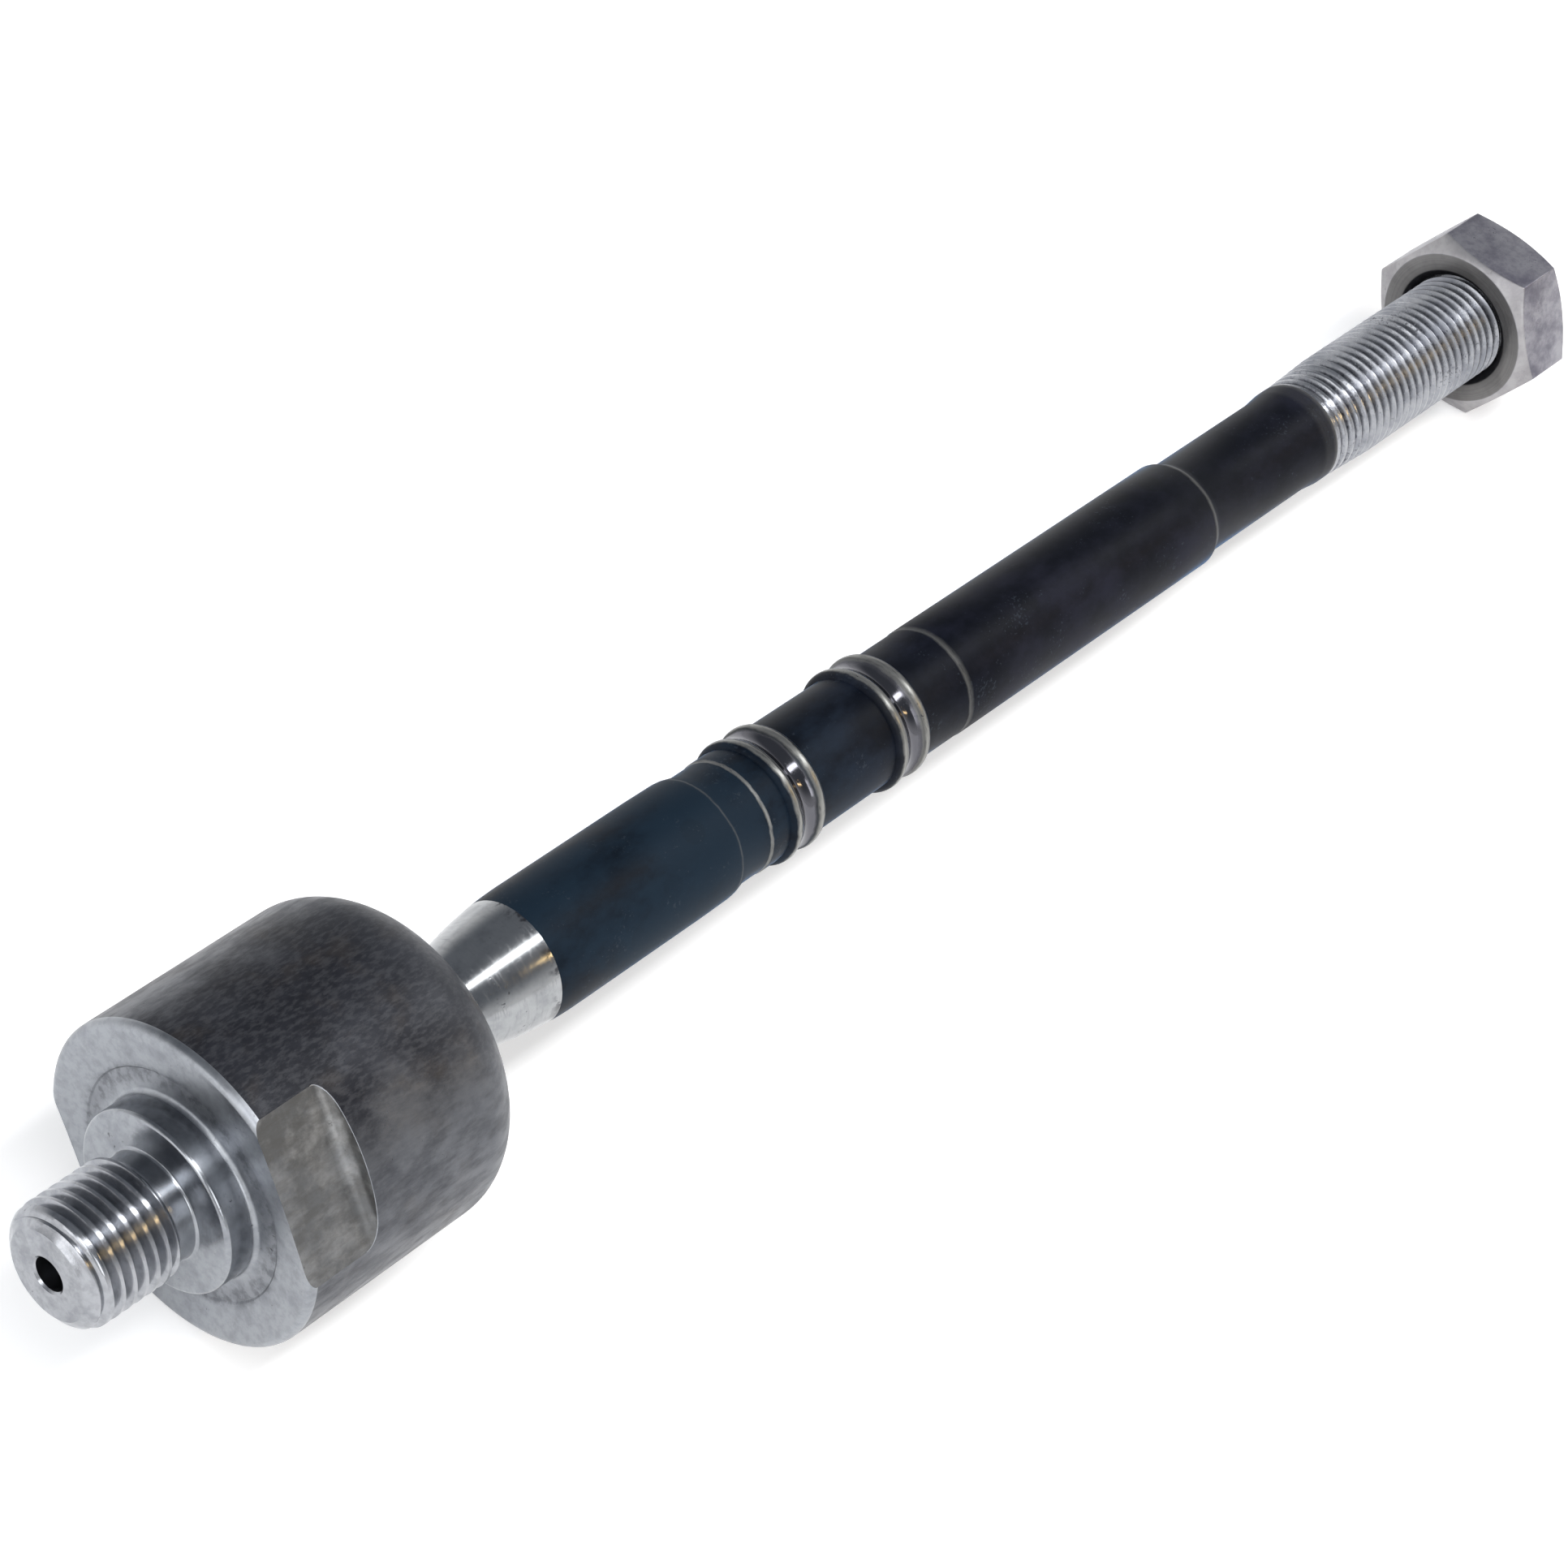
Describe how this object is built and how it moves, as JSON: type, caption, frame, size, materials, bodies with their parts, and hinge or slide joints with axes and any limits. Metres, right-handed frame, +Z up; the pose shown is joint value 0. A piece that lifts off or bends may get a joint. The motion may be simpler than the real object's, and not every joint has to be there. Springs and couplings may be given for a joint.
{
  "type": "inner tie rod",
  "caption": "Inner tie rod with a threaded rack stud, a ball joint in a round housing, a ribbed steel rod and a lock nut on its outer thread.",
  "frame": {"origin": "centre of the collar face that seats on the end of the rack", "axes": "+X along the rod's axis from the rack stud towards the lock nut, +Z up with the rod lying on a floor and a flat of the lock nut below"},
  "size_m": [0.255, 0.037, 0.037],
  "materials": {
    "housing_steel": "oiled machined and forged steel",
    "seat_plastic": "moulded acetal",
    "rod_paint": "semi-gloss dark coat on steel, bare at neck, ribs and thread",
    "nut_steel": "zinc-plated steel"
  },
  "bodies": {
    "housing": {"housing": "housing_steel"},
    "ball_seat": {"ball_seat": "seat_plastic"},
    "tie_rod": {"tie_rod": "rod_paint"},
    "lock_nut": {"lock_nut": "nut_steel"}
  },
  "joints": [
    {"name": "ball_turn", "type": "hinge", "parent": "housing", "child": "ball_seat", "pos_m": [0.026, 0, 0], "axis": [1, 0, 0], "continuous": true},
    {"name": "ball_swing", "type": "hinge", "parent": "ball_seat", "child": "tie_rod", "pos_m": [0.026, 0, 0], "axis": [0, 0, 1], "range_deg": [-25, 25]},
    {"name": "nut_travel", "type": "slide", "parent": "tie_rod", "child": "lock_nut", "axis": [1, 0, 0], "range_m": [-0.033, 0]}
  ]
}
